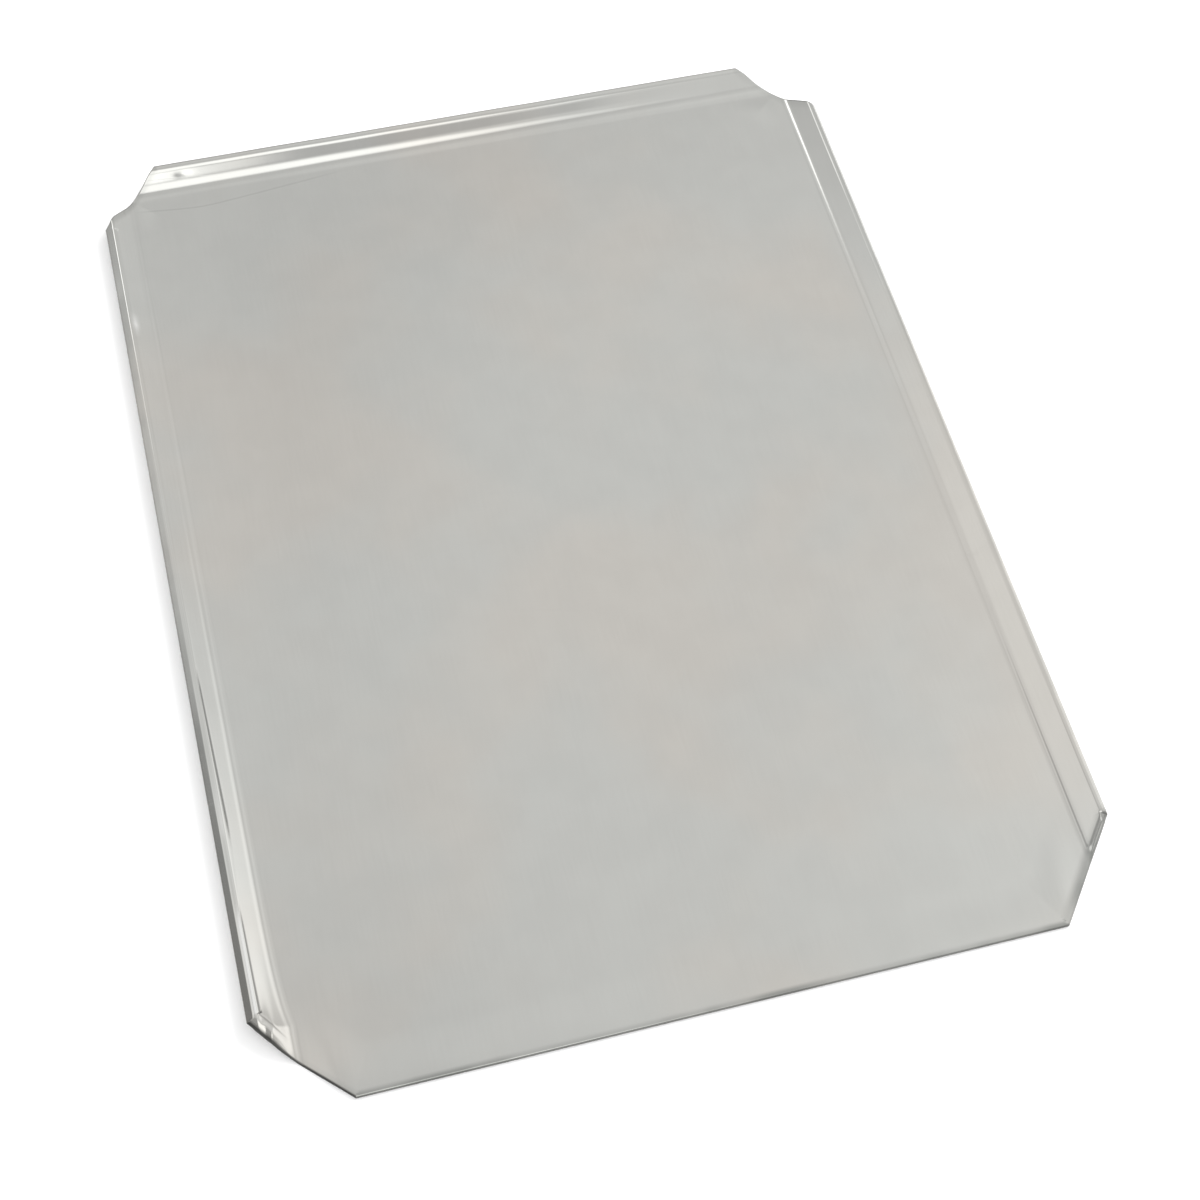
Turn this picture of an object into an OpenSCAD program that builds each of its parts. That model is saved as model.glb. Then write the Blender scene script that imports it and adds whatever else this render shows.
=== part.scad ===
// Cookie sheet: one sheet of bright stainless steel, pressed into shape.
// The left, right and back sides flare up as narrow flanges that end in a
// rolled rim. The front side stays level, so that baked goods slide off it.
// The four corners are cut off on the diagonal, and the front edge and the
// cut corners are closed with a folded hem.
// Frame: +X to the right, +Y to the back flange, +Z up. The origin is under
// the middle of the sheet, on the plane that the sheet rests on.

/* [Sheet] */
// Overall width, over the two side rims
sheet_w = 305; // [200:1:460]
// Overall length, from the front edge to the back rim
sheet_l = 406; // [250:1:610]
// Thickness of the steel
steel_t = 0.7; // [0.5:0.05:1]

/* [Flanges] */
// Height of the rims above the surface that the sheet rests on
rim_h = 6.5; // [6:0.5:12]
// Angle at which the flanges rise from the level
flange_angle = 39; // [25:1:50]
// Inside radius of the bend between the panel and a flange
bend_r = 6; // [2:0.5:8]

/* [Rolled rim] */
// Outside radius of the roll
roll_r = 3; // [2:0.1:4]
// Slope of the roll where it leaves the flange
roll_in = 56; // [52:1:70]
// Slope of the roll at its outer end, past the top
roll_out = 68; // [40:1:85]

/* [Hem] */
// Width of the hem along the front edge and the cut corners
hem_w = 4; // [3:0.1:6]
// Thickness of the sheet where it is folded double
hem_t = 1.3; // [1.1:0.05:1.8]

/* [Cut corners] */
// Front left corner, cut along the front edge
front_left_x = 30; // [15:0.5:60]
// Front left corner, cut along the side rim
front_left_y = 29.5; // [15:0.5:60]
// Front right corner, cut along the front edge
front_right_x = 26.5; // [15:0.5:60]
// Front right corner, cut along the side rim
front_right_y = 34.5; // [15:0.5:60]
// Back left corner, cut along the back rim
back_left_x = 24.5; // [15:0.5:60]
// Back left corner, cut along the side rim
back_left_y = 28.5; // [15:0.5:60]
// Back right corner, cut along the back rim
back_right_x = 28; // [15:0.5:60]
// Back right corner, cut along the side rim
back_right_y = 28.5; // [15:0.5:60]

/* [Hidden] */
$fn = 96;

half_w = sheet_w / 2;
half_l = sheet_l / 2;
tall = 3 * rim_h;

// Where the centre of the roll, the foot of the roll, the crease and the
// start of the bend lie, measured inwards from the rim.
roll_centre = roll_r * sin(roll_out);
roll_foot = roll_centre + roll_r * sin(roll_in);
foot_h = rim_h - roll_r + roll_r * cos(roll_in);
crease = roll_foot + (foot_h - steel_t) / tan(flange_angle);
bend_start = crease + bend_r * tan(flange_angle / 2);

// The outline seen from above, counter-clockwise from the front edge's left end.
outline = [
    [-half_w + front_left_x, -half_l],
    [half_w - front_right_x, -half_l],
    [half_w, -half_l + front_right_y],
    [half_w, half_l - back_right_y],
    [half_w - back_right_x, half_l],
    [-half_w + back_left_x, half_l],
    [-half_w, half_l - back_left_y],
    [-half_w, -half_l + front_left_y]
];

// The edges of the outline that have a hem: the front edge and the four cuts.
hemmed = [[0, 1], [1, 2], [3, 4], [5, 6], [7, 0]];

// The part of a ring between two angles. Its outer radius is r_out, and the
// steel is thick inwards from there.
module ring_part(r_out, thick, from, to) {
    step = (to - from) / 4;
    difference() {
        intersection() {
            circle(r = r_out);
            polygon(concat([[0, 0]], [for (k = [0:4]) 2 * r_out * [cos(from + k * step), sin(from + k * step)]]));
        }
        circle(r = r_out - thick);
    }
}

// The region on the hollow side of a bent line, which runs level up to the
// bend, then along an arc of radius r, then up the flange. The bend's centre is
// the origin, and the region reaches high above the line.
module hollow_side(r, level_len, flange_len, high) {
    translate([-level_len, -r]) square([level_len, high]);
    circle(r = r);
    rotate(flange_angle) translate([0, -r]) square([flange_len, high]);
}

// Cross-section of half the sheet: panel, bend, flange and roll, with the
// rim at x = reach. The underside stays where it is when thick grows.
module half_section(reach, thick) {
    r_out = bend_r + steel_t;
    lap = steel_t * tan(roll_in - flange_angle);
    flange_len = (crease - roll_foot) / cos(flange_angle) - bend_r * tan(flange_angle / 2) + lap;
    translate([reach - bend_start, r_out]) difference() {
        hollow_side(r_out, reach - bend_start, flange_len, r_out);
        hollow_side(r_out - thick, reach, 2 * flange_len, 3 * r_out);
    }
    translate([reach - roll_centre, rim_h - roll_r]) ring_part(roll_r, steel_t, 90 - roll_out, 90 + roll_in);
}

module side_flanges(thick) {
    rotate([90, 0, 0]) linear_extrude(height = sheet_l, center = true) {
        half_section(half_w, thick);
        mirror([1, 0]) half_section(half_w, thick);
    }
}

module back_flange(thick) {
    rotate([90, 0, 90]) linear_extrude(height = sheet_w, center = true) half_section(half_l, thick);
}

// The part of the plan that belongs to the back flange, mitred on the diagonals.
module back_share() {
    linear_extrude(height = tall, center = true)
        polygon([[-half_w, half_l], [0, half_l - half_w], [half_w, half_l]]);
}

// The whole sheet, bent up on three sides, before its corners are cut.
module bent_sheet(thick) {
    difference() {
        side_flanges(thick);
        back_share();
    }
    intersection() {
        back_flange(thick);
        back_share();
    }
}

// The part of the plan within a hem's width of the hemmed edges.
module hem_share() {
    linear_extrude(height = tall, center = true) for (edge = hemmed) {
        start = outline[edge[0]];
        along = outline[edge[1]] - start;
        translate(start) rotate(atan2(along[1], along[0])) translate([-hem_w, -hem_w])
            square([norm(along) + 2 * hem_w, 2 * hem_w]);
    }
}

module pressed_sheet() {
    color([0.72, 0.72, 0.69]) intersection() {
        union() {
            bent_sheet(steel_t);
            intersection() {
                bent_sheet(hem_t);
                hem_share();
            }
        }
        linear_extrude(height = tall, center = true) polygon(outline);
    }
}

pressed_sheet();
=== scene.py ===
"""The looks of a cookie sheet: one sheet of bright stainless steel on a pale floor.

Lengths in the properties are in metres, angles in radians. The frame is the
part's own: +X to the right, +Y to the back flange, +Z up, and the origin is
under the middle of the sheet, on the floor.
"""

from collections import namedtuple
from math import cos, pi, radians, sin, tan

import bpy
import bmesh
import numpy as np
from bpy.props import FloatProperty, FloatVectorProperty, PointerProperty
from mathutils import Euler, Matrix, Vector


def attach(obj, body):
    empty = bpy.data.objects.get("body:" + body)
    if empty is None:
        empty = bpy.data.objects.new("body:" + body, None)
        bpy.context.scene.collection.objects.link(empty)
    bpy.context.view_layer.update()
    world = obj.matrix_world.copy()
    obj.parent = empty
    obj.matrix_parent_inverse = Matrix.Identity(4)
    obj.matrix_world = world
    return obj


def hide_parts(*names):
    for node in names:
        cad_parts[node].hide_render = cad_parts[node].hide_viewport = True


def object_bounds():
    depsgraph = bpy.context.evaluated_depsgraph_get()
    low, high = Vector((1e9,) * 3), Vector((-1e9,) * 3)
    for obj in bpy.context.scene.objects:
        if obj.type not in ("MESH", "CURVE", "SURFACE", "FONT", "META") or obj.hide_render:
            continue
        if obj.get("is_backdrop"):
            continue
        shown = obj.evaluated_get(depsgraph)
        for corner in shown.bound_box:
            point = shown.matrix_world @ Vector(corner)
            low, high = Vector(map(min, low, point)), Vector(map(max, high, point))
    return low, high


bl_info = {
    "name": "Cookie sheet",
    "version": (1, 0, 0),
    "blender": (4, 5, 0),
    "location": "View3D > Sidebar > Cookie sheet",
    "description": "Makes a pressed steel cookie sheet and the studio that it lies in",
    "category": "Add Mesh",
}

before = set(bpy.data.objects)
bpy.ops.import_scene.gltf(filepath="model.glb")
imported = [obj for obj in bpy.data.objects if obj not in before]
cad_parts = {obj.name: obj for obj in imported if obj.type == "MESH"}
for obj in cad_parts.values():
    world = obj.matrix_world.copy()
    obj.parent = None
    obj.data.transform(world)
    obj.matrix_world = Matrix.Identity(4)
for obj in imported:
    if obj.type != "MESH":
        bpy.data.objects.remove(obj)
cad_low, cad_high = (np.array(corner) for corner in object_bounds())
MM = 0.001


# ---------------------------------------------------------------- properties

def length(name, description, default):
    """A length property, in metres."""
    return FloatProperty(name=name, description=description, default=default,
                         min=0, unit="LENGTH", subtype="DISTANCE", precision=5)


def angle(name, description, default):
    """An angle property, given here in degrees."""
    return FloatProperty(name=name, description=description, default=radians(default),
                         unit="ROTATION", subtype="ANGLE")


def colour(name, description, default):
    """A colour property, scene linear."""
    return FloatVectorProperty(name=name, description=description, default=default,
                               min=0, max=1, size=3, subtype="COLOR")


def level(name, description, default):
    """A plain number, such as a strength or a share."""
    return FloatProperty(name=name, description=description, default=default, precision=4)


def cut(name, along_front, along_side):
    """The two lengths that a cut corner takes off, in millimetres here."""
    return FloatVectorProperty(
        name=name, description="Along the front or back, and along the side rim",
        default=(along_front * MM, along_side * MM), size=2, unit="LENGTH")


def per_rim(name, description, left, right, back):
    """Lengths that differ from rim to rim, in millimetres here."""
    return FloatVectorProperty(name=name, description=description + " (left, right, back)",
                               default=(left * MM, right * MM, back * MM), size=3, unit="LENGTH")


def angle_per_rim(name, description, left, right, back):
    """Angles that differ from rim to rim, in degrees here."""
    return FloatVectorProperty(name=name, description=description + " (left, right, back)",
                               default=(radians(left), radians(right), radians(back)),
                               size=3, unit="ROTATION")


class SheetProperties(bpy.types.PropertyGroup):
    """Sizes of the pressed sheet."""
    width: length("Width", "Over the two side rims", float(cad_high[0] - cad_low[0]))
    depth: length("Length", "From the front edge to the back rim", float(cad_high[1] - cad_low[1]))
    rim_height: length("Rim height", "Top of the rims above the floor", float(cad_high[2]))
    steel: length("Steel", "Thickness of the steel", 0.7 * MM)
    flange_angle: angle_per_rim("Flange angle", "How steeply a flange rises", 41, 38, 39.5)
    bend_radius: per_rim("Bend radius", "Inside radius between panel and flange", 6, 6, 12)
    lip_width: per_rim("Lip width", "From the rim to the crest of its lip", 3.5, 2.0, 0.8)
    lip_angle: angle_per_rim("Lip angle", "How steeply a lip falls outwards", 37, 38, 50)
    crest_radius: per_rim("Crest radius", "Outside radius of the crest, on its inner side", 1.8, 1.8, 5.0)
    lip_radius: per_rim("Lip radius", "Outside radius of the crest, on its outer side", 1.8, 1.8, 0.9)
    fold_line: length("Fold line", "Depth of the line where the left lip's fold ends", 0.13 * MM)
    lip_fade: length("Lip fade", "How far in from a rim a cut's end has turned into a hem", 2.5 * MM)
    turned_lip: length("Turned lip", "Width of the lip that a front cut has on the flange", 3.2 * MM)
    flare: length("Flare", "How much wider the left flange is at its front end", 2 * MM)
    hem_width: length("Hem width", "How far in from an edge the hem's thickness has gone", 19 * MM)
    hem_flank: length("Hem flank", "Width of the slope on which it goes", 17.5 * MM)
    hem_thickness: length("Hem thickness", "Thickness of the sheet at its hem", 1.3 * MM)
    hem_round: length("Hem rounding", "Radius of the hem's upper corner", 0.7 * MM)
    tip_radius: length("Tip radius", "Rounding of the outline's eight tips, seen from above", 0.7 * MM)
    lip_keeps: length("Lip keeps", "How far in from the rim a front cut keeps its whole lip", 7 * MM)
    lip_ends: length("Lip ends", "How far in from the rim that lip has gone", 13 * MM)
    cut_bend: length("Cut bend", "How far in from a rim a cut bends, where it crosses the crease", 10 * MM)
    cut_front_left: cut("Front left cut", 30, 32)
    cut_front_right: cut("Front right cut", 26.5, 34.5)
    cut_back_left: cut("Back left cut", 24.5, 28.5)
    cut_back_right: cut("Back right cut", 28, 28.5)
    panel_wave: length("Panel wave", "Height of the panel's slow waves", 0.25 * MM)
    flange_wave: level("Flange wave", "Share of their rise that the flanges lose in places", 0.04)


class FinishProperties(bpy.types.PropertyGroup):
    """Finish of the steel, and the colours of its painted highlight and painted shade."""
    cool: colour("Steel, cool", "Colour of the clean steel", (0.562, 0.564, 0.54))
    warm: colour("Steel, warm", "Colour of the steel where it is tinged", (0.585, 0.565, 0.528))
    # Painted highlight: a brighter colour on the left lip's crest and on one dent, in place of the light
    # they catch.
    painted_highlight: colour("Steel, polished", "Colour of the steel on the left lip's crest", (0.86, 0.86, 0.84))
    # Painted shade: a darker colour for the lips, hems and cuts near the edge, in place of the dark
    # surroundings that their faces reflect.
    dulling_and_painted_shade: colour("Steel, burnished", "Colour of the steel on the folded lip", (0.30, 0.305, 0.29))
    # Painted shade: a near black for the edges' very ends, one tip and the fold's line, in place of
    # contact shade and dark reflections.
    deep_painted_shade: colour("Steel, sheared", "Colour of the bare edge of the fold", (0.07, 0.07, 0.066))
    roughness: level("Roughness", "Of the polished surface", 0.075)
    grain: level("Grain", "Strength of the rolling grain", 0.03)


class StudioProperties(bpy.types.PropertyGroup):
    """Floor, light and camera."""
    floor_colour: colour("Floor", "Colour of the floor", (0.9, 0.9, 0.9))
    floor_glow: level("Floor glow", "What the floor adds to reach white in the picture", 0.1)
    floor_size: length("Floor size", "Side of the square floor", 4.0)
    room: level("Room", "Brightness of the room between its lights", 0.60)
    key: level("Key light", "Brightness of the soft box that casts the shadow", 9.0)
    lens: level("Lens", "Focal length in millimetres on a 36 mm sensor", 61.455)
    aim: FloatVectorProperty(name="Aim", description="Point on the floor at the picture's middle",
                             default=(0.0016, -0.0398, 0.0), size=3, unit="LENGTH")
    distance: length("Distance", "From the aim to the camera", 0.7633)
    heading: angle("Heading", "Turn of the view from +Y towards +X", 17.457)
    pitch: angle("Pitch", "How far the view looks down from the level", 59.808)
    roll: angle("Roll", "Turn of the camera about its view", 3.446)


# ------------------------------------------------------------ cross-sections

def smooth(x):
    """The smooth step: 0 below 0, 1 above 1, level at both ends."""
    x = np.clip(x, 0, 1)
    return x * x * (3 - 2 * x)


class Section:
    """The sheet's cross-section at a rim. The crest is a pair of arcs that meet in
    its top, at the rim's height. The flange is a tangent of the inner one, which
    falls at the flange's angle and ends in the arc of the bend. The lip's straight
    face is a tangent of the outer one."""

    def __init__(self, p, rim):
        self.steel, self.top = p.steel, p.rim_height
        self.angle, self.lip = p.flange_angle[rim], p.lip_angle[rim]
        self.crest, self.bend = p.lip_width[rim], p.bend_radius[rim]
        self.inner, self.outer = p.crest_radius[rim], p.lip_radius[rim]
        self.tangent = self.crest + self.inner * sin(self.angle)
        height = self.top - self.inner + self.inner * cos(self.angle) - self.steel
        self.crease = self.tangent + height / tan(self.angle)
        self.bend_start = self.crease + self.bend * tan(self.angle / 2)
        self.bend_end = self.bend_start - self.bend * sin(self.angle)
        self.face_end = self.crest - self.outer * sin(self.lip)

    def rise(self, d):
        """Height of the sheet over the panel, a distance d in from the rim: nought
        on the panel, the arc of the bend, the straight flange, the arc of the
        crest, and the straight face of the lip."""
        x = np.clip(self.bend_start - d, 0, self.bend * sin(self.angle))
        bend = self.bend - np.sqrt(self.bend**2 - x**2)
        flange = np.clip(self.bend_end - np.maximum(d, self.tangent), 0, None) * tan(self.angle)
        x = np.clip(d, self.crest, self.tangent) - self.crest
        crest = np.sqrt(self.inner**2 - x**2) - self.inner * cos(self.angle)
        x = np.clip(d, self.face_end, self.crest) - self.crest
        lip = self.outer - np.sqrt(self.outer**2 - x**2)
        face = np.clip(self.face_end - d, 0, None) * tan(self.lip)
        return bend + flange + crest - lip - face

    def slope(self, d):
        """Slope of the same line: x / sqrt(r^2 - x^2) on an arc of radius r, a
        distance x from its level point, and its last value on the straight flange."""
        x = np.clip(self.bend_start - d, 0, self.bend * sin(self.angle))
        y = np.clip(d, self.face_end, self.tangent) - self.crest
        radius = np.where(y > 0, self.inner, self.outer)
        on_flange = x / np.sqrt(self.bend**2 - x**2)
        return np.where(d > self.tangent, on_flange, y / np.sqrt(radius**2 - y**2))


def arc(centre, radius, start, end, count):
    """Points (d, z) on an arc. An angle is the slope there: 0 on top, positive
    towards the panel, negative towards the outside."""
    turn = np.linspace(start, end, count)
    return centre[0] + radius * np.sin(turn), centre[1] + radius * np.cos(turn)


def run(start, end, count):
    """Points (d, z) on a straight line, without its first point."""
    share = np.linspace(0, 1, count + 1)[1:]
    return start[0] + share * (end[0] - start[0]), start[1] + share * (end[1] - start[1])


def joined(*pieces):
    """Runs of points (d, z) one after another."""
    return np.concatenate([d for d, _ in pieces]), np.concatenate([z for _, z in pieces])


# How far in from the edge the rings of the bead's upper face lie, down to where a
# rim's lip and a hem part, and how many points the upper face, the edge, the
# underside and each of its arcs have.
UPPER = np.concatenate([np.linspace(9, 6, 7), np.linspace(5.8, 0.8, 26)]) * MM
LIP_LAST = (0.55 * MM, 0.35 * MM)
BEAD, EDGE, UNDER, ARC = len(UPPER) + 3, 9, 15, 3


def lip_profile(sec):
    """The bead of a rim as (d, height over the sheet): the sheet itself on the
    upper face, a half round end as thick as the steel, and a line a steel's
    thickness under the sheet back along the inside."""
    half = sec.steel / 2
    # The face is a tangent of the half round end, whose outermost point is the rim.
    end_d = half - half * sin(sec.lip)
    upper = np.concatenate([UPPER, [*LIP_LAST, end_d]])
    end_z = sec.steel + sec.rise(end_d)
    end = arc((half, end_z - half * cos(sec.lip)), half, -sec.lip, -sec.lip - pi, EDGE + 2)
    outer = arc((sec.crest, sec.top - sec.outer), sec.outer - sec.steel, -sec.lip, 0, ARC)
    inner = arc((sec.crest, sec.top - sec.inner), sec.inner - sec.steel, sec.angle / 3, sec.angle, ARC)
    d = np.linspace(sec.tangent + 0.2 * MM, UPPER[0], UNDER - 3 * ARC)
    under = (d, sec.steel + sec.rise(d) - sec.steel * np.sqrt(1 + sec.slope(d)**2))
    back = joined(run((end[0][-1], end[1][-1]), (outer[0][0], outer[1][0]), ARC), outer, inner, under)
    d, z = joined((end[0][1:-1], end[1][1:-1]), back)
    return np.concatenate([upper, d]), np.concatenate([upper * 0, z - sec.steel - sec.rise(d)])


def hem_rise(p, d):
    """How much thicker a hem makes the sheet, a distance d in from the edge: a
    fold's thickness that goes along a smooth step."""
    return (p.hem_thickness - p.steel) * smooth((p.hem_width - d) / p.hem_flank)


def hem_profile(p):
    """The hem of the front edge or a cut, in the same form: a flank that climbs
    one fold's thickness along a smooth step, a level top, an upright end with
    rounded corners, and a level underside."""
    over = hem_rise(p, 0)
    lower_round = 0.3 * MM
    upper = np.concatenate([UPPER, [1.1 * p.hem_round, 1.05 * p.hem_round, p.hem_round]])
    turn_down = arc((p.hem_round, over - p.hem_round), p.hem_round, 0, -pi / 2, EDGE - ARC + 1)
    turn_in = arc((lower_round, lower_round - p.steel), lower_round, -pi / 2, -pi, ARC)
    end = joined((turn_down[0][1:], turn_down[1][1:]), turn_in)
    under = run((lower_round, -p.steel), (UPPER[0], -p.steel), UNDER)
    return joined((upper, hem_rise(p, upper)), end, under)


# ------------------------------------------------------------------- outline

# The edges, counter-clockwise from the front. Each begins at the tip with its number.
FRONT, CUT_FRONT_RIGHT, RIGHT, CUT_BACK_RIGHT, BACK, CUT_BACK_LEFT, LEFT, CUT_FRONT_LEFT = range(8)
RIMS = (LEFT, RIGHT, BACK)

# For each edge in that order, how much painted shade and dulling it has and how deep
# the painted shade at its very end is, and how far in from the edge either reaches.
DULLING_AND_PAINTED_SHADE = np.array([0.9, 1.0, 0.40, 0.15, 0.4, 0.5, 0.4, 0.3])
DULLING_AND_SHADE_REACH = np.array([2.0, 3.6, 2.0, 3.0, 0.8, 2.4, 3.4, 2.0]) * MM
DARK = np.array([0.65, 0.30, 0.15, 0.2, 0.1, 0.2, 0.25, 1.0])
DARK_REACH = np.array([0.30, 0.6, 0.5, 0.5, 0.4, 0.5, 0.5, 0.62]) * MM

# How far each cut's bend stands out from the straight line between its tips, how
# soon that fades inwards, how soft the bend's corner is, and how much of a lip
# the cut has where it crosses a flange.
BULGE = np.array([0, 0.4, 0, 0.8, 0, 1.0, 0, 1.2]) * MM
BULGE_FADE, BULGE_SOFT = 12 * MM, 0.03
TURNED = np.array([0, 0.6, 0, 0, 0, 0, 0, 1.0])

# The spacing of the places on the front and the rims and on the cuts, the steps
# round a tip, and the share of the places that crowd towards a long edge's ends.
LONG_STEP, CUT_STEP, TIP_STEPS, CROWDED = 3.2 * MM, 0.5 * MM, 5, 0.75

# Places along the outline: the edge, or the one after the tip, whether it is on the
# tip, and its share of the way along.
Places = namedtuple("Places", "edge on_tip share")


def outline_tips(p):
    """The eight tips of the outline, counter-clockwise from the front edge's left end."""
    w, l = p.width / 2, p.depth / 2
    fl, fr, bl, br = p.cut_front_left, p.cut_front_right, p.cut_back_left, p.cut_back_right
    return np.array([
        (-w + fl[0], -l), (w - fr[0], -l), (w, -l + fr[1]), (w, l - br[1]),
        (w - br[0], l), (-w + bl[0], l), (-w, l - bl[1]), (-w, -l + fl[1])])


def soft_lesser(a, b):
    """The lesser of two numbers, rounded off where they are alike:
    (a + b - sqrt((a - b)^2 + softness)) / 2."""
    return (a + b - np.sqrt((a - b)**2 + BULGE_SOFT)) / 2


class Outline:
    """The outline as a function of two parameters: a place along the edge, and
    a distance in from it. Every edge is a straight line moved inwards, its ends
    on the bisectors of the tips, and every tip is an arc until the distance
    passes the tip's radius. A cut bends softly where it crosses a crease, because
    the steel is cut before it is bent up."""

    def __init__(self, tips, tip_radius, cut_bend):
        self.tips, self.tip_radius, self.cut_bend = tips, tip_radius, cut_bend
        step = np.roll(tips, -1, 0) - tips
        self.length = np.linalg.norm(step, axis=1)
        self.along = step / self.length[:, None]
        self.inward = np.stack([-self.along[:, 1], self.along[:, 0]], 1)
        before = np.roll(self.inward, 1, 0)
        cosine = (before * self.inward).sum(1)
        self.bisector = (before + self.inward) / (1 + cosine)[:, None]
        self.turn = np.arccos(cosine)
        self.trim = np.tan(self.turn / 2)

    def after(self, edge):
        """The edge that follows, and the tip between."""
        return (edge + 1) % len(self.tips)

    def places(self):
        """Samples along the whole edge: evenly round the tips and on the cuts, and
        closer towards the ends of the front and the rims."""
        rows = []
        for edge, reach in enumerate(self.length):
            round_tip = np.linspace(0, 1, TIP_STEPS + 1)[:-1]
            rows.append(np.stack([np.full(TIP_STEPS, edge), np.ones(TIP_STEPS), round_tip], 1))
            is_long = edge in RIMS or edge == FRONT
            count = int(np.ceil(reach / (LONG_STEP if is_long else CUT_STEP)))
            even = np.linspace(0, 1, count)
            crowd = 0.5 - 0.5 * np.cos(pi * even)
            share = (1 - CROWDED) * even + CROWDED * crowd if is_long else even
            rows.append(np.stack([np.full(count, edge), np.zeros(count), share], 1))
        edge, on_tip, share = np.concatenate(rows).T
        return Places(edge.astype(int), on_tip > 0, share)

    def bulge(self, places, d):
        """How far a cut stands out: a soft tent whose top is at the crease, or a
        soft roof with its corners at the two creases."""
        edge, t = places.edge, places.share
        at_start = self.cut_bend / (self.length[edge] * np.sin(self.turn[edge]))
        at_end = self.cut_bend / (self.length[edge] * np.sin(self.turn[self.after(edge)]))
        from_start = np.where(np.isin(edge - 1, RIMS), t / at_start, t / (1 - at_end))
        from_end = np.where(np.isin(edge + 1, RIMS), (1 - t) / at_end, (1 - t) / (1 - at_start))
        shape = np.clip(soft_lesser(soft_lesser(from_start, from_end), 1.0), 0, None)
        return (BULGE[edge] * shape)[:, None] * np.exp(-d / BULGE_FADE)

    def point(self, places, d):
        """The point at each place, a distance d in: d has one row per place. An
        edge is a blend of its two moved ends, less the bulge. A tip is a turn
        about its centre, by its share of the angle between the two edges."""
        edge, after = places.edge, self.after(places.edge)
        along = self.along[edge][:, None]
        deep = d[:, :, None]
        left = np.clip(self.tip_radius - d, 0, None)[:, :, None]
        start = self.tips[edge][:, None] + deep * self.bisector[edge][:, None]
        start = start + left * self.trim[edge][:, None, None] * along
        end = self.tips[after][:, None] + deep * self.bisector[after][:, None]
        end = end - left * self.trim[after][:, None, None] * along
        straight = start + places.share[:, None, None] * (end - start)
        straight = straight - self.bulge(places, d)[:, :, None] * self.inward[edge][:, None]

        reach = np.maximum(deep, self.tip_radius)
        centre = self.tips[edge][:, None] + reach * self.bisector[edge][:, None]
        out = -np.roll(self.inward, 1, 0)[edge]
        turn = self.turn[edge] * places.share
        out = np.stack([out[:, 0] * np.cos(turn) - out[:, 1] * np.sin(turn),
                        out[:, 0] * np.sin(turn) + out[:, 1] * np.cos(turn)], 1)
        rounded = centre + left * out[:, None]
        return np.where(places.on_tip[:, None, None], rounded, straight)


def lip_shares(p, outline, places):
    """How much of each rim's lip the edge has at each place, as one row per rim:
    all of it on the rim and its tips, and on a cut beside it a smooth fall with
    the distance from the rim."""
    edge = places.edge
    along = places.share * outline.length[edge]
    from_start = along * np.sin(outline.turn[edge])
    from_end = (outline.length[edge] - along) * np.sin(outline.turn[outline.after(edge)])
    rows = []
    for rim in RIMS:
        on_cut = (np.where(edge == rim + 1, smooth(1 - from_start / p.lip_fade), 0)
                  + np.where(edge == rim - 1, smooth(1 - from_end / p.lip_fade), 0))
        on_edge = np.where(edge == rim, 1, on_cut)
        rows.append(np.where(places.on_tip, (edge == rim) | (edge == rim + 1), on_edge))
    return np.stack(rows)


# ------------------------------------------------------------ sheet surface

# The slow waves along the left, right and back flange: (radians per metre, phase).
FLANGE_WAVES = (
    ((23, 0.4), (61, 2.0), (118, 4.4)),
    ((19, 3.1), (53, 0.3), (127, 1.2)),
    ((29, 1.0), (71, 5.0), (139, 2.6)),
)

# The waves of the panel: (radians over its width, over its length, phase, weight).
# They begin this far in from the outline's box and are whole after the fade.
PANEL_WAVES = ((9.1, 2.2, 0.6, 1.0), (4.3, -7.9, 2.1, 1.0), (15.7, 10.3, 4.0, 0.4), (0, 6.0, -1.1, 1.0))
WAVE_BORDER, WAVE_FADE = 14 * MM, 60 * MM

# The left flange's flare: how far in from the rim it begins, over what width it
# grows, how soon it fades behind the front left cut, and its most on the cut.
FLARE_FROM, FLARE_WIDTH, FLARE_FADE, FLARE_MOST = 4 * MM, 5 * MM, 12 * MM, 1.3

# Small dents in the flanges: where, how deep, and how long either way.
DENTS = np.array([
    (-147.2, 123.4, 0.10, 1.2, 3.6),
    (-117.4, 197.8, 0.16, 2.2, 0.9),
]) * MM

# The line along the left lip's fold: how far inwards of the crest it lies, how
# softly it starts and ends, how much of it is left between its stretches, those
# as shares of the left rim from the back, how far it wanders inwards on the way, in
# millimetres, and how wide it is as a groove and as a line of painted shade.
FOLD_OFFSET, FOLD_SOFT, FOLD_BETWEEN = 1.4 * MM, 0.03, 0.06
FOLD_STRETCHES = ((0.61, 0.82), (0.88, 1.05))
FOLD_WANDERS = (0.61, 0.82, 0.88, 1.0), (-0.4, 0.8, -0.4, 0.0)
GROOVE_WIDTH, LINE_WIDTH = 0.3 * MM, 0.32 * MM

# The painted highlight on the left lip's crest, in the same way.
HIGHLIGHT_OFFSET, HIGHLIGHT_WIDTH = 0.1 * MM, 0.7 * MM

# The band of rings between the bead and the open panel, which ends this far past
# the bends, and the rings from there to the middle: as shares of the way, on the
# upper face and on the underside.
PAST_BEND = 6 * MM
BAND = np.concatenate([np.linspace(0, 0.5, 16)[1:], np.linspace(0.5, 1, 7)[1:]])
BAND_UNDER = np.linspace(0, 1, 13)[1:]
SHRINK, SHRINK_UNDER = np.linspace(1, 0, 30)[1:-1], np.linspace(1, 0, 8)[1:-1]

# How soon a hem's fold passes from the underside to the upper face, past the
# bends, and how softly it ends on the upper face beside them.
HEM_PASSES, HEM_ENDS = 12 * MM, 6 * MM


def flange_keeps(p, along, waves):
    """How much of its rise a flange keeps at a place along its rim: one, less a
    share of the mean of a few raised sines."""
    return 1 - p.flange_wave * sum(0.5 + 0.5 * np.sin(a * along + b) for a, b in waves) / len(waves)


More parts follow.
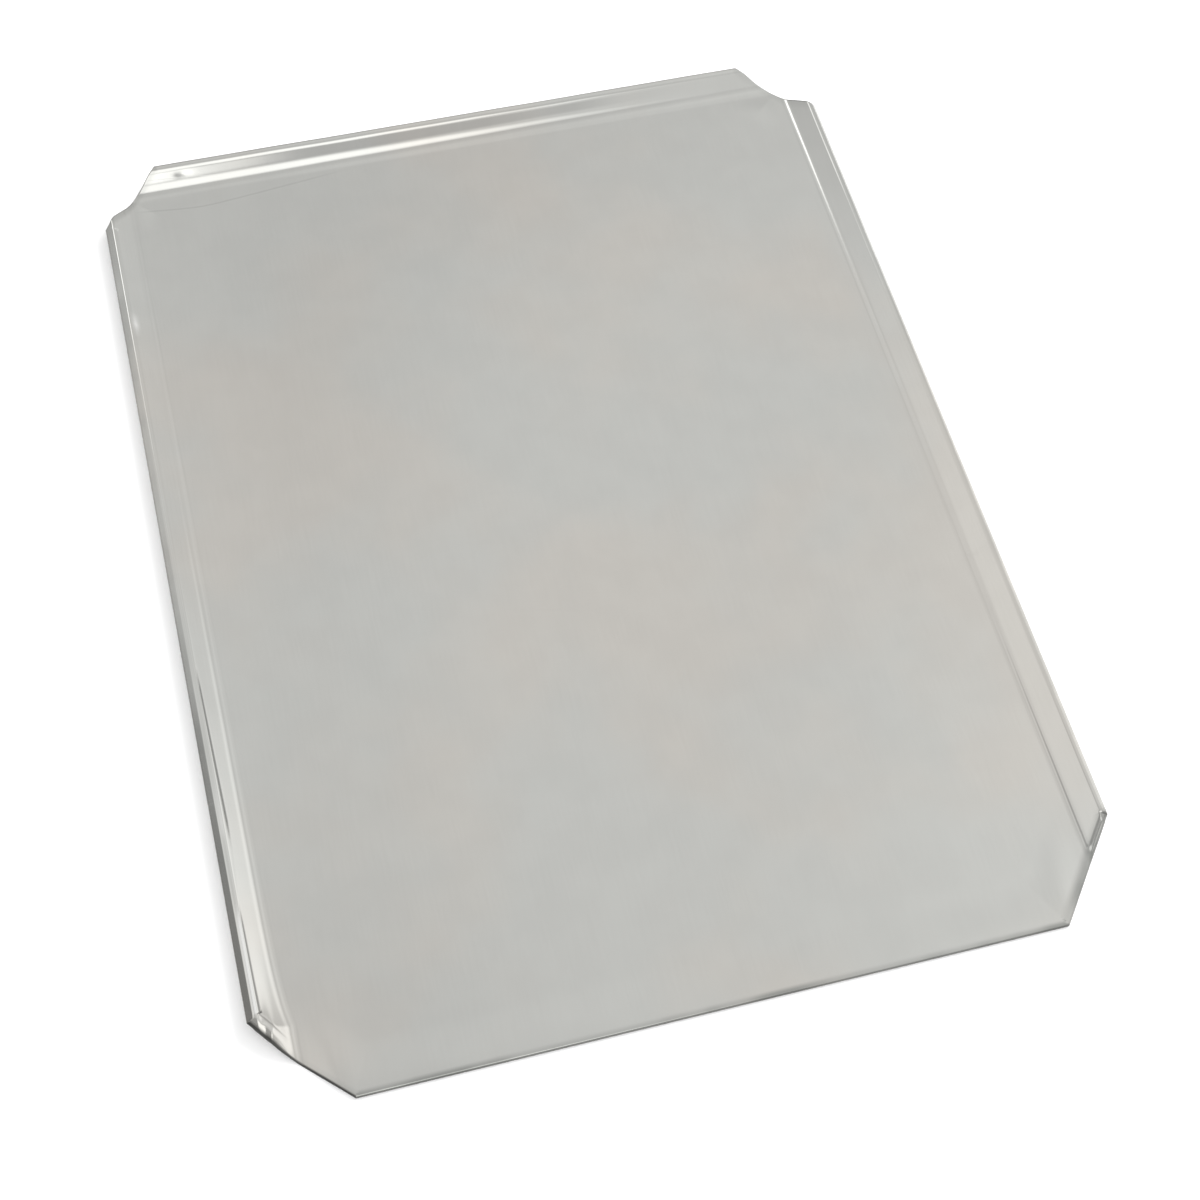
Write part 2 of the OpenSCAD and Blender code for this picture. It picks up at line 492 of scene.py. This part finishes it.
def flange_rise(p, secs, x, y):
    """Height of the folded sheet over the panel at a point seen from above, and
    its slope: the rises of the three flanges added up, each lowered a little in
    places by slow waves along its rim, and less the dents, which are bell curves.
    The left one is stretched inwards by a flare that fades backwards as exp(-y)."""
    w, l = p.width / 2, p.depth / 2
    flare = p.flare * smooth((w + x - FLARE_FROM) / FLARE_WIDTH)
    flare = flare * np.exp((-l + p.cut_front_left[1] - y) / FLARE_FADE)
    inwards = (w + x - np.minimum(flare, FLARE_MOST * p.flare), w - x, l - y)
    rise = sum(sec.rise(d) * flange_keeps(p, along, waves)
               for sec, d, along, waves in zip(secs, inwards, (y, y, x), FLANGE_WAVES))
    for at_x, at_y, depth, size_x, size_y in DENTS:
        rise = rise - depth * np.exp(-((x - at_x) / size_x)**2 - ((y - at_y) / size_y)**2)
    slope = np.sqrt(sum(sec.slope(d)**2 for sec, d in zip(secs, inwards)))
    return rise, slope


def panel_wave(p, x, y):
    """Slow waves of the panel, never below the level: the mean of a few crossed
    cosines, raised to between nought and one, and faded out before the bends."""
    u, v = x / p.width, y / p.depth
    wave = sum(weight * np.cos(a * u + b * v + phase) for a, b, phase, weight in PANEL_WAVES)
    wave = wave / sum(weight for *_, weight in PANEL_WAVES)
    fade = (smooth((p.width / 2 - np.abs(x) - WAVE_BORDER) / WAVE_FADE)
            * smooth((p.depth / 2 - np.abs(y) - WAVE_BORDER) / WAVE_FADE))
    return p.panel_wave * (0.5 + 0.5 * wave) * fade


def upper_face(p, secs, xy, over=0):
    """Height of the upper face: the steel's thickness, the rise of the flanges,
    what a lip or a hem adds, and the wave of the panel."""
    x, y = xy[..., 0], xy[..., 1]
    rise, _ = flange_rise(p, secs, x, y)
    return p.steel + rise + over + panel_wave(p, x, y)


def underside(p, secs, xy):
    """Height of the underside, a steel's thickness t below the upper face as
    measured square to the flange: lower by t sqrt(1 + slope^2)."""
    x, y = xy[..., 0], xy[..., 1]
    rise, slope = flange_rise(p, secs, x, y)
    return p.steel + rise - p.steel * np.sqrt(1 + slope**2) + panel_wave(p, x, y)


def fold_sides(p, secs, xy, d):
    """How much of a hem's fold lies on the underside, as it does on a flange, and
    how much on the upper face, as on the panel and away from a rim."""
    from_rim = np.minimum(p.width / 2 - np.abs(xy[..., 0]), p.depth / 2 - xy[..., 1])
    high = smooth((from_rim - max(sec.bend_start for sec in secs)) / HEM_PASSES)
    return 1 - high, high * smooth((from_rim - d) / HEM_ENDS)


def lip_kept(p, from_rim):
    """How much of its lip a front cut has, a distance in from the side rim."""
    return smooth((p.lip_ends - from_rim) / (p.lip_ends - p.lip_keeps))


def along_lip(p, places, d, from_rim, offset, width, wanders=True):
    """A soft line along the left lip, a distance inwards of its crest, as a bell
    curve across: on the rim it comes and goes along the front half, and at the
    tip it turns and follows the front left cut."""
    on_left = (places.edge == LEFT) & ~places.on_tip
    on_cut = places.edge == CUT_FRONT_LEFT
    stretches = [smooth((places.share - low) / FOLD_SOFT) * smooth((high - places.share) / FOLD_SOFT)
                 for low, high in FOLD_STRETCHES]
    on_rim = np.where(on_left, FOLD_BETWEEN + (1 - FOLD_BETWEEN) * np.maximum(*stretches), 0)
    drift = np.where(on_left, np.interp(places.share, *FOLD_WANDERS) * MM, 0) * wanders
    turn = np.where(on_cut, np.where(places.on_tip, places.share, 1), 0)
    crest = p.lip_width[0] + drift + turn * (p.turned_lip - p.lip_width[0])
    there = on_rim[:, None] + on_cut[:, None] * lip_kept(p, from_rim)
    return there * np.exp(-((d - crest[:, None] - offset) / width)**2)


def turned_down(p, secs, places, xy, d):
    """How far a front cut's lip falls below the flange. Its section is the rim's
    own, and where the two lips meet, the deeper one counts, so that they meet in
    a mitre."""
    def fall(sec, d, crest):
        return sec.rise(sec.crest) - sec.rise(np.clip(d + sec.crest - crest, 0, sec.crest))

    def extra(sec, from_rim):
        on_cut = fall(sec, d, p.turned_lip) * lip_kept(p, from_rim)
        return np.maximum(on_cut - fall(sec, from_rim, sec.crest), 0)

    left, right, _ = secs
    on_left = (places.edge == CUT_FRONT_LEFT)[:, None]
    share = np.where(places.on_tip, 0, TURNED[places.edge])[:, None]
    return share * np.where(on_left, extra(left, p.width / 2 + xy[..., 0]),
                            extra(right, p.width / 2 - xy[..., 0]))


def sheet_surface(p):
    """The whole sheet as one closed surface over (place along the edge, ring).
    The rings run from the middle of the upper face out to the bead, round the
    edge and back under to the middle. Outside the bead the rings follow the
    outline inwards, and within the last of them they shrink towards the middle.
    A ring's height is that of the upper face or the underside where it lies, plus
    the bead's own profile, which passes from a rim's lip to a hem. Each point
    also gets its marks of painted colour: how much painted shade with dulling,
    how much painted highlight and how much deep painted shade it has."""
    secs = [Section(p, rim) for rim in range(len(RIMS))]
    outline = Outline(outline_tips(p), p.tip_radius, p.cut_bend)
    places = outline.places()
    lips = lip_shares(p, outline, places)[:, :, None]
    hemmed = 1 - lips.sum(0)

    profiles = [lip_profile(sec) for sec in secs]
    lip_d, lip_z = (sum(each * profile[k] for each, profile in zip(lips, profiles)) for k in range(2))
    hem_d, hem_z = hem_profile(p)
    bead_d = lip_d + hemmed * hem_d
    bead_z = lip_z + hemmed * hem_z

    band_end = max(sec.bend_start for sec in secs) + PAST_BEND
    band_d = bead_d[:, :1] + BAND * (band_end - bead_d[:, :1])
    under_d = bead_d[:, -1:] + BAND_UNDER * (band_end - bead_d[:, -1:])
    bead = outline.point(places, bead_d)
    band = outline.point(places, band_d)
    band_under = outline.point(places, under_d)
    inner = band[:, -1:] * SHRINK[:, None]
    inner_under = band_under[:, -1:] * SHRINK_UNDER[:, None]

    # What the bead adds: its profile, less a front cut's turned lip and the fold's
    # line. Under a hem the steel's thickness is measured square to the flange.
    bead_z = bead_z - turned_down(p, secs, places, bead, bead_d)
    groove = along_lip(p, places, bead_d, p.width / 2 + bead[..., 0], FOLD_OFFSET, GROOVE_WIDTH)
    bead_z[:, :BEAD] -= p.fold_line * groove[:, :BEAD]
    _, slope = flange_rise(p, secs, bead[..., 0], bead[..., 1])
    ring = np.arange(bead.shape[1])
    thicker = np.where(ring >= BEAD + EDGE, p.steel * (np.sqrt(1 + slope**2) - 1), 0)

    # The profile has a hem's fold on the upper face. Where it crosses a flange it
    # lies underneath, so there both faces are lowered by it.
    low, high = fold_sides(p, secs, bead, hem_d)
    fold = hemmed * hem_rise(p, hem_d) * np.where(ring < BEAD, 1 - high, low)
    bead_height = np.maximum(upper_face(p, secs, bead, bead_z) - hemmed * thicker - fold, 0)
    _, high = fold_sides(p, secs, band, band_d)
    band_height = upper_face(p, secs, band) + hemmed * hem_rise(p, band_d) * high
    low, _ = fold_sides(p, secs, band_under, under_d)
    under_height = np.maximum(underside(p, secs, band_under) - hemmed * hem_rise(p, under_d) * low, 0)

    xy = np.concatenate([inner[:, ::-1], band[:, ::-1], bead, band_under, inner_under], 1)
    z = np.concatenate([upper_face(p, secs, inner[:, ::-1]), band_height[:, ::-1], bead_height,
                        under_height, underside(p, secs, inner_under)], 1)
    grid = np.concatenate([xy, z[..., None]], 2)
    middle_rise = panel_wave(p, 0.0, 0.0)
    poles = np.array([[0, 0, p.steel + middle_rise], [0, 0, middle_rise]])

    # The marks lie on the upper face and the edge. Beyond the band, and under the
    # sheet, a point counts as a metre in from the edge, where no mark reaches.
    inwards = np.full(xy.shape[:2], 1.0)
    first = inner.shape[1]
    inwards[:, first:first + band.shape[1] + bead.shape[1]] = np.hstack([band_d[:, ::-1], bead_d])
    above = np.arange(xy.shape[1]) < first + band.shape[1] + BEAD + EDGE
    marks = edge_marks(p, outline, places, xy, inwards)
    return grid, poles, {mark: values * above for mark, values in marks.items()}


# The right rim's tip at the front gets painted shade, as far as this.
DARK_TIP, DARK_TIP_REACH = RIGHT, 2.4 * MM
# The first of the dents has a painted highlight, a bright spot, which reaches this far along x and y.
SPOT_REACH = (1.0 * MM, 3.4 * MM)
# How far in from its edge the front left cut's turned lip is dulled and darkened with painted shade.
TURNED_REACH = 3.4 * MM


def faded(inwards, reach, ends):
    """How much of a mark is left, a distance inwards of the edge: a smooth step
    down from one, which is over at so many times the mark's reach."""
    return smooth(ends - inwards / reach)


def edge_marks(p, outline, places, xy, inwards):
    """How much painted shade with dulling, painted highlight and deep painted shade
    the steel has at each point, each from nought to one. A mark follows an edge
    and fades with the distance in from it. On a tip it passes from one edge's
    value to the next one's."""
    edge, share = places.edge, places.share
    on_left, on_cut = (edge == LEFT)[:, None], (edge == CUT_FRONT_LEFT)[:, None]
    passing = np.where(places.on_tip, share, 1)
    x, y = xy[..., 0], xy[..., 1]
    from_rim = p.width / 2 + x
    kept = on_cut * lip_kept(p, from_rim)
    # From none to all between seven and nine tenths of the way along an edge.
    forward = smooth((share - 0.7) / 0.2)[:, None]

    def of_edge(values):
        return (values[edge - 1] * (1 - passing) + values[edge] * passing)[:, None]

    # The front right cut has less painted shade and dulling near its front end, and so has the left rim.
    patchy = np.where(edge == CUT_FRONT_RIGHT, 0.3 + 0.7 * smooth(3 * share), 1)[:, None]
    # Painted shade along the edges, where the steel is also made rougher.
    dulling_and_painted_shade = patchy * of_edge(DULLING_AND_PAINTED_SHADE) * faded(inwards, of_edge(DULLING_AND_SHADE_REACH), ends=1.35)
    dulling_and_painted_shade = dulling_and_painted_shade * np.where(on_left, 1 - 0.8 * forward, 1)
    dulling_and_painted_shade = np.maximum(dulling_and_painted_shade, 0.35 * kept * faded(inwards, TURNED_REACH, ends=1.4))

    # Deeper painted shade at the edges' very ends, at one tip and along the fold's line.
    dark = of_edge(DARK) * faded(inwards, of_edge(DARK_REACH) * (1 + 0.9 * kept), ends=1.5)
    from_tip = np.linalg.norm(xy - outline.tips[DARK_TIP], axis=2)
    dark = np.maximum(dark, 0.6 * np.exp(-(from_tip / DARK_TIP_REACH)**2))
    # The fold's line gets painted shade, deeper on the left rim than on the front left cut.
    line = along_lip(p, places, inwards, from_rim, FOLD_OFFSET, LINE_WIDTH)
    dark = np.maximum(dark, np.where(on_left, 0.75, 0.40) * line)

    # Painted highlight along the left lip's crest, growing towards the front, and as a bright spot on the
    # first dent.
    crest = along_lip(p, places, inwards, from_rim, HIGHLIGHT_OFFSET, HIGHLIGHT_WIDTH, wanders=False)
    spot_x, spot_y = (x - DENTS[0, 0]) / SPOT_REACH[0], (y - DENTS[0, 1]) / SPOT_REACH[1]
    painted_highlight = np.maximum(np.where(on_left, forward, 0.2) * crest, 0.8 * np.exp(-spot_x**2 - spot_y**2))
    return {"dulling_and_painted_shade": dulling_and_painted_shade, "painted_highlight": painted_highlight, "deep_painted_shade": dark}


def closed_mesh(name, grid, poles, marks):
    """A mesh from a grid that closes on itself along its first parameter, with a
    pole at each end of its second. Rows that lie on each other are merged. Each
    of the marks becomes an attribute of the mesh's points."""
    n, m = grid.shape[:2]
    points = np.concatenate([grid.reshape(-1, 3), poles])
    i = np.arange(n)[:, None]
    j = np.arange(m - 1)[None]
    after = (i + 1) % n
    quads = np.stack([i * m + j, i * m + j + 1, after * m + j + 1, after * m + j], -1).reshape(-1, 4)
    first = np.stack([np.full(n, n * m), i[:, 0] * m, after[:, 0] * m], 1)
    last = np.stack([np.full(n, n * m + 1), after[:, 0] * m + m - 1, i[:, 0] * m + m - 1], 1)
    mesh = bpy.data.meshes.new(name)
    mesh.from_pydata(points.tolist(), [], quads.tolist() + first.tolist() + last.tolist())
    for mark_name, values in marks.items():
        layer = mesh.attributes.new(mark_name, "FLOAT", "POINT")
        layer.data.foreach_set("value", np.append(values.ravel(), [0, 0]).astype(np.float32))
    bm = bmesh.new()
    bm.from_mesh(mesh)
    bmesh.ops.remove_doubles(bm, verts=bm.verts, dist=1e-7)
    bmesh.ops.dissolve_degenerate(bm, edges=bm.edges, dist=1e-8)
    bmesh.ops.recalc_face_normals(bm, faces=bm.faces)
    bm.to_mesh(mesh)
    bm.free()
    mesh.shade_smooth()
    return mesh


def add_object(name, mesh):
    """An object at the origin, linked to the scene."""
    piece = bpy.data.objects.new(name, mesh)
    bpy.context.scene.collection.objects.link(piece)
    return piece


# ---------------------------------------------------------------- materials

def node(tree, kind, inputs=None, **settings):
    """A shader node with its settings and with values or links for its inputs."""
    made = tree.nodes.new(kind)
    for key, value in settings.items():
        setattr(made, key, value)
    for key, value in (inputs or {}).items():
        if isinstance(value, bpy.types.NodeSocket):
            tree.links.new(value, made.inputs[key])
        else:
            made.inputs[key].default_value = value
    return made


def math(tree, operation, *values):
    """A math node's result."""
    return node(tree, "ShaderNodeMath", dict(enumerate(values)), operation=operation).outputs[0]


def placed(tree, where, turn, stretch):
    """Coordinates that are turned about Z and stretched."""
    return node(tree, "ShaderNodeMapping", {
        "Vector": where, "Rotation": (0, 0, turn), "Scale": stretch}).outputs[0]


def noise(tree, where, scale, detail=2.0, stretch=(1, 1, 1), turn=0.0):
    """Noise on coordinates that are turned about Z and stretched."""
    return node(tree, "ShaderNodeTexNoise", {
        "Vector": placed(tree, where, turn, stretch), "Scale": scale, "Detail": detail,
        "Roughness": 0.5}).outputs["Fac"]


def between(tree, value, low, high, to_low=0.0, to_high=1.0):
    """A value carried from one range to another along a smooth step."""
    return node(tree, "ShaderNodeMapRange", {
        "Value": value, "From Min": low, "From Max": high, "To Min": to_low, "To Max": to_high},
        interpolation_type="SMOOTHSTEP").outputs[0]


def blend(tree, share, first, second):
    """Two colours mixed."""
    return node(tree, "ShaderNodeMix", {0: share, 6: first, 7: second}, data_type="RGBA").outputs[2]


def mark(tree, name):
    """One of the mesh's own marks."""
    return node(tree, "ShaderNodeAttribute", attribute_name=name).outputs["Fac"]


def hairlines(tree, where, turn, amount):
    """Fine handling scratches: the borders of long thin cells, kept in patches."""
    cells = node(tree, "ShaderNodeTexVoronoi", {
        "Vector": placed(tree, where, turn, (7, 110, 1)), "Scale": 1.0}, feature="DISTANCE_TO_EDGE")
    line = between(tree, cells.outputs["Distance"], 0.0, 0.012, 1.0, 0.0)
    patch = between(tree, noise(tree, where, 11, 1.0, turn=turn), 0.52, 0.66)
    return math(tree, "MULTIPLY", math(tree, "MULTIPLY", line, patch), amount)


def painted_reflection_line(tree, where):
    """A painted reflection: one thin curved dark line along the back of the panel, near
    the line y = 181 + 0.115 sqrt((x + 112)^2 + 6^2), in millimetres, and faded at its ends."""
    from_left, base, bend_size, slant = 112 * MM, 181 * MM, 6 * MM, 0.115
    starts, ends = (-0.142, -0.130), (-0.075, -0.045)
    x, y, _ = node(tree, "ShaderNodeSeparateXYZ", {0: where}).outputs
    away = math(tree, "ADD", x, from_left)
    bow = math(tree, "SQRT", math(tree, "MULTIPLY_ADD", away, away, bend_size**2))
    line = math(tree, "MULTIPLY_ADD", bow, slant, base)
    off = math(tree, "ABSOLUTE", math(tree, "SUBTRACT", y, line))
    kept = math(tree, "MULTIPLY", between(tree, x, *starts), between(tree, x, *ends, 1.0, 0.0))
    return math(tree, "MULTIPLY", between(tree, off, 0.1 * MM, 0.7 * MM, 1.0, 0.0), kept)


def steel_material(f):
    """Bright rolled stainless steel. Its colour drifts between a cool and a warm
    tone, a fine grain runs along the sheet, and soft smudges and hairline
    scratches change the roughness. Where the mesh is marked so, the colour is
    brightened as a painted highlight, or darkened as painted shade, nearly black
    where that shade is deepest, and there the steel is rougher too. One painted
    reflection line darkens it a little along the back of the panel."""
    made = bpy.data.materials.new("bright_steel")
    made.use_nodes = True
    tree = made.node_tree
    shader = tree.nodes["Principled BSDF"]
    shader.inputs["Metallic"].default_value = 1
    where = node(tree, "ShaderNodeTexCoord").outputs["Object"]

    clouds = between(tree, noise(tree, where, 9, 3.0), 0.40, 0.64)
    tone = blend(tree, clouds, (*f.cool, 1), (*f.warm, 1))
    grain = noise(tree, where, 1.0, 3.0, stretch=(1500, 45, 45))
    mottle = noise(tree, where, 55, 2.0)
    shade = math(tree, "ADD", between(tree, mottle, 0.3, 0.7, 0.985, 1.01),
                 between(tree, grain, 0.3, 0.7, -0.006, 0.006))
    tone = node(tree, "ShaderNodeVectorMath", {0: tone, 1: shade}, operation="MULTIPLY").outputs[0]
    # Painted shade with dulling, in patches: a darker colour and more roughness.
    patches = between(tree, noise(tree, where, 38, 2.0), 0.34, 0.62, 0.4, 1.0)
    dulling_and_painted_shade = math(tree, "MULTIPLY", mark(tree, "dulling_and_painted_shade"), patches)
    deep_painted_shade = mark(tree, "deep_painted_shade")
    # The painted highlight brightens the colour.
    tone = blend(tree, mark(tree, "painted_highlight"), tone, (*f.painted_highlight, 1))
    tone = blend(tree, dulling_and_painted_shade, tone, (*f.dulling_and_painted_shade, 1))
    # The deeper painted shade darkens the colour nearly to black.
    tone = blend(tree, deep_painted_shade, tone, (*f.deep_painted_shade, 1))
    # A painted reflection: a thin dark line along the back of the panel.
    tone = blend(tree, math(tree, "MULTIPLY", painted_reflection_line(tree, where), 0.09), tone, (*f.deep_painted_shade, 1))
    tree.links.new(tone, shader.inputs["Base Color"])

    smudge = between(tree, noise(tree, where, 17, 4.0, stretch=(1, 1.6, 1), turn=0.6), 0.50, 0.72)
    scratch = math(tree, "ADD", hairlines(tree, where, 0.35, 1.0), hairlines(tree, where, 1.9, 0.7))
    rough = f.roughness
    for value, amount in ((smudge, 0.03), (scratch, 0.10), (grain, 0.03),
                          (dulling_and_painted_shade, 0.08), (deep_painted_shade, 0.30)):
        rough = math(tree, "MULTIPLY_ADD", value, amount, rough)
    tree.links.new(rough, shader.inputs["Roughness"])

    height = math(tree, "MULTIPLY_ADD", scratch, -0.6, math(tree, "MULTIPLY", grain, f.grain))
    bump = node(tree, "ShaderNodeBump", {"Height": height, "Strength": 0.25, "Distance": 0.02 * MM})
    tree.links.new(bump.outputs[0], shader.inputs["Normal"])
    return made


def floor_material(s):
    """Pale floor. Seen by the camera or in a reflection it glows a little, so
    that it reaches white without more light on the object."""
    made = bpy.data.materials.new("pale_floor")
    made.use_nodes = True
    tree = made.node_tree
    shader = tree.nodes["Principled BSDF"]
    shader.inputs["Base Color"].default_value = (*s.floor_colour, 1)
    shader.inputs["Roughness"].default_value = 0.9
    shader.inputs["Specular IOR Level"].default_value = 0.0
    shader.inputs["Emission Color"].default_value = (1, 1, 1, 1)
    rays = node(tree, "ShaderNodeLightPath").outputs
    seen = math(tree, "MAXIMUM", rays["Is Camera Ray"], rays["Is Glossy Ray"])
    seen = math(tree, "MAXIMUM", seen, rays["Is Transmission Ray"])
    tree.links.new(math(tree, "MULTIPLY", seen, s.floor_glow), shader.inputs["Emission Strength"])
    return made


# ------------------------------------------------------------- room and light

# The room's soft lights and dark corners, as seen from the sheet: each is a round
# patch in a direction (x to the right, y to the back, z up) that is even within
# its inner angle and fades into the room by its outer one, both in degrees.
# Later ones lie over earlier ones. A level of 1 is white.
ROOM_LIGHTS = {
    "ceiling over the back": ((0.12, 0.50, 0.86), 20, 45, 0.83),
    "ceiling, brighter part": ((0.28, 0.42, 0.86), 9, 20, 0.94),
    "ceiling to the right": ((0.75, 0.05, 0.66), 8, 42, 1.20),
    "window wall": ((0.85, 0.40, 0.33), 20, 42, 0.90),
    "window": ((0.90, 0.15, 0.40), 8, 27, 1.50),
    "wall, upper left": ((-0.38, 0.46, 0.80), 14, 26, 0.97),
    "wall, back left": ((-0.68, 0.62, 0.38), 10, 25, 0.86),
    "wall to the left": ((-0.80, 0.30, 0.52), 6, 22, 1.08),
    "dark corner, left": ((-0.97, 0.24, 0.08), 11, 20, 0.32),
    "dark corner, back": ((-0.30, 0.93, 0.20), 16, 33, 0.36),
    "ceiling in front": ((0.20, -0.50, 0.84), 14, 30, 0.95),
    "dark strip in front": ((0.07, -0.59, 0.80), 4, 9, 0.70),
    "light overhead": ((-0.07, -0.22, 0.97), 9, 17.5, 1.80),
    "soft box in front": ((-0.36, -0.60, 0.71), 21, 24, 1.95),
    "dark beam overhead": ((-0.33, 0.29, 0.90), 3, 8, 0.60),
    "slit at the back": ((-0.29, 0.69, 0.66), 5, 8, 2.4),
}


def studio_world(room):
    """A grey room with soft lights and dark corners: the patches are laid over an
    even level one after another. The camera itself sees it plain white."""
    world = bpy.data.worlds.new("studio")
    world.use_nodes = True
    tree = world.node_tree
    way = node(tree, "ShaderNodeTexCoord").outputs["Generated"]
    total = room
    for towards, inner, outer, strength in ROOM_LIGHTS.values():
        near = node(tree, "ShaderNodeVectorMath", {0: way, 1: Vector(towards).normalized()},
                    operation="DOT_PRODUCT").outputs["Value"]
        share = between(tree, near, cos(radians(outer)), cos(radians(inner)))
        total = node(tree, "ShaderNodeMix", {0: share, 2: total, 3: strength}).outputs[0]
    seen = node(tree, "ShaderNodeLightPath").outputs["Is Camera Ray"]
    total = node(tree, "ShaderNodeMix", {0: seen, 2: total, 3: 1.0}).outputs[0]
    background = tree.nodes["Background"]
    background.inputs["Color"].default_value = (1, 1, 1, 1)
    tree.links.new(total, background.inputs["Strength"])
    return world


def add_lamp(name, towards, distance, size, radiance):
    """A soft box, seen from the sheet in a given direction, that faces the sheet
    and doesn't show in its polish. An area lamp of power P and area A has the
    radiance P / (pi A)."""
    lamp = bpy.data.lights.new(name, "AREA")
    lamp.shape = "RECTANGLE"
    lamp.size, lamp.size_y = size
    lamp.energy = radiance * pi * size[0] * size[1]
    made = bpy.data.objects.new(name, lamp)
    direction = Vector(towards).normalized()
    made.location = direction * distance
    made.rotation_euler = direction.to_track_quat("Z", "Y").to_euler()
    made.visible_glossy = False
    bpy.context.scene.collection.objects.link(made)
    return made


def add_camera(s):
    """The camera, at a distance from its aim, looking along its heading and down
    by its pitch, and turned about that line by its roll."""
    lens = bpy.data.cameras.new("camera")
    lens.lens = s.lens
    camera = bpy.data.objects.new("camera", lens)
    turn = Euler((pi / 2 - s.pitch, 0, -s.heading)).to_matrix() @ Matrix.Rotation(s.roll, 3, "Z")
    camera.matrix_world = Matrix.Translation(
        Vector(s.aim) + turn @ Vector((0, 0, s.distance))) @ turn.to_4x4()
    bpy.context.scene.collection.objects.link(camera)
    return camera


# ---------------------------------------------------------------- operators

class COOKIE_OT_pressed_sheet(bpy.types.Operator):
    """Make the pressed steel sheet with its flanges, lip and hem"""
    bl_idname = "cookie.pressed_sheet"
    bl_label = "Pressed sheet"

    def execute(self, context):
        grid, poles, marks = sheet_surface(context.scene.cookie_sheet)
        sheet = add_object("steel_sheet", closed_mesh("steel_sheet", grid, poles, marks))
        sheet.data.materials.append(steel_material(context.scene.cookie_finish))
        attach(sheet, "root")
        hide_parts("pressed_sheet")
        return {"FINISHED"}


class COOKIE_OT_stage(bpy.types.Operator):
    """Make the floor, the light and the camera"""
    bl_idname = "cookie.stage"
    bl_label = "Stage"

    def execute(self, context):
        s = context.scene.cookie_studio
        half = s.floor_size / 2
        corners = [(-half, -half, 0), (half, -half, 0), (half, half, 0), (-half, half, 0)]
        mesh = bpy.data.meshes.new("floor")
        mesh.from_pydata(corners, [], [(0, 1, 2, 3)])
        floor = add_object("floor", mesh)
        floor.data.materials.append(floor_material(s))
        floor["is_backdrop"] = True

        add_lamp("key_light", towards=(0.74, 0.44, 0.50), distance=1.6, size=(1.2, 0.8), radiance=s.key)
        context.scene.world = studio_world(s.room)
        context.scene.camera = add_camera(s)
        context.scene.view_settings.view_transform = "Standard"
        return {"FINISHED"}


class COOKIE_PT_panel(bpy.types.Panel):
    """Sizes, finish and studio of the cookie sheet"""
    bl_label = "Cookie sheet"
    bl_idname = "COOKIE_PT_panel"
    bl_space_type = "VIEW_3D"
    bl_region_type = "UI"
    bl_category = "Cookie sheet"

    def draw(self, context):
        scene = context.scene
        for group, operator in ((scene.cookie_sheet, "cookie.pressed_sheet"), (scene.cookie_finish, None),
                                (scene.cookie_studio, "cookie.stage")):
            box = self.layout.box()
            for name in group.__annotations__:
                box.prop(group, name)
            if operator:
                box.operator(operator)


CLASSES = (SheetProperties, FinishProperties, StudioProperties,
           COOKIE_OT_pressed_sheet, COOKIE_OT_stage, COOKIE_PT_panel)


def register():
    """Make the classes known, and give every scene its properties."""
    for each in CLASSES:
        bpy.utils.register_class(each)
    bpy.types.Scene.cookie_sheet = PointerProperty(type=SheetProperties)
    bpy.types.Scene.cookie_finish = PointerProperty(type=FinishProperties)
    bpy.types.Scene.cookie_studio = PointerProperty(type=StudioProperties)


def unregister():
    """Take them away again."""
    del bpy.types.Scene.cookie_studio
    del bpy.types.Scene.cookie_finish
    del bpy.types.Scene.cookie_sheet
    for each in reversed(CLASSES):
        bpy.utils.unregister_class(each)


def main():
    """Make the sheet and its stage."""
    register()
    bpy.ops.cookie.pressed_sheet()
    bpy.ops.cookie.stage()


if __name__ == "__main__":
    main()
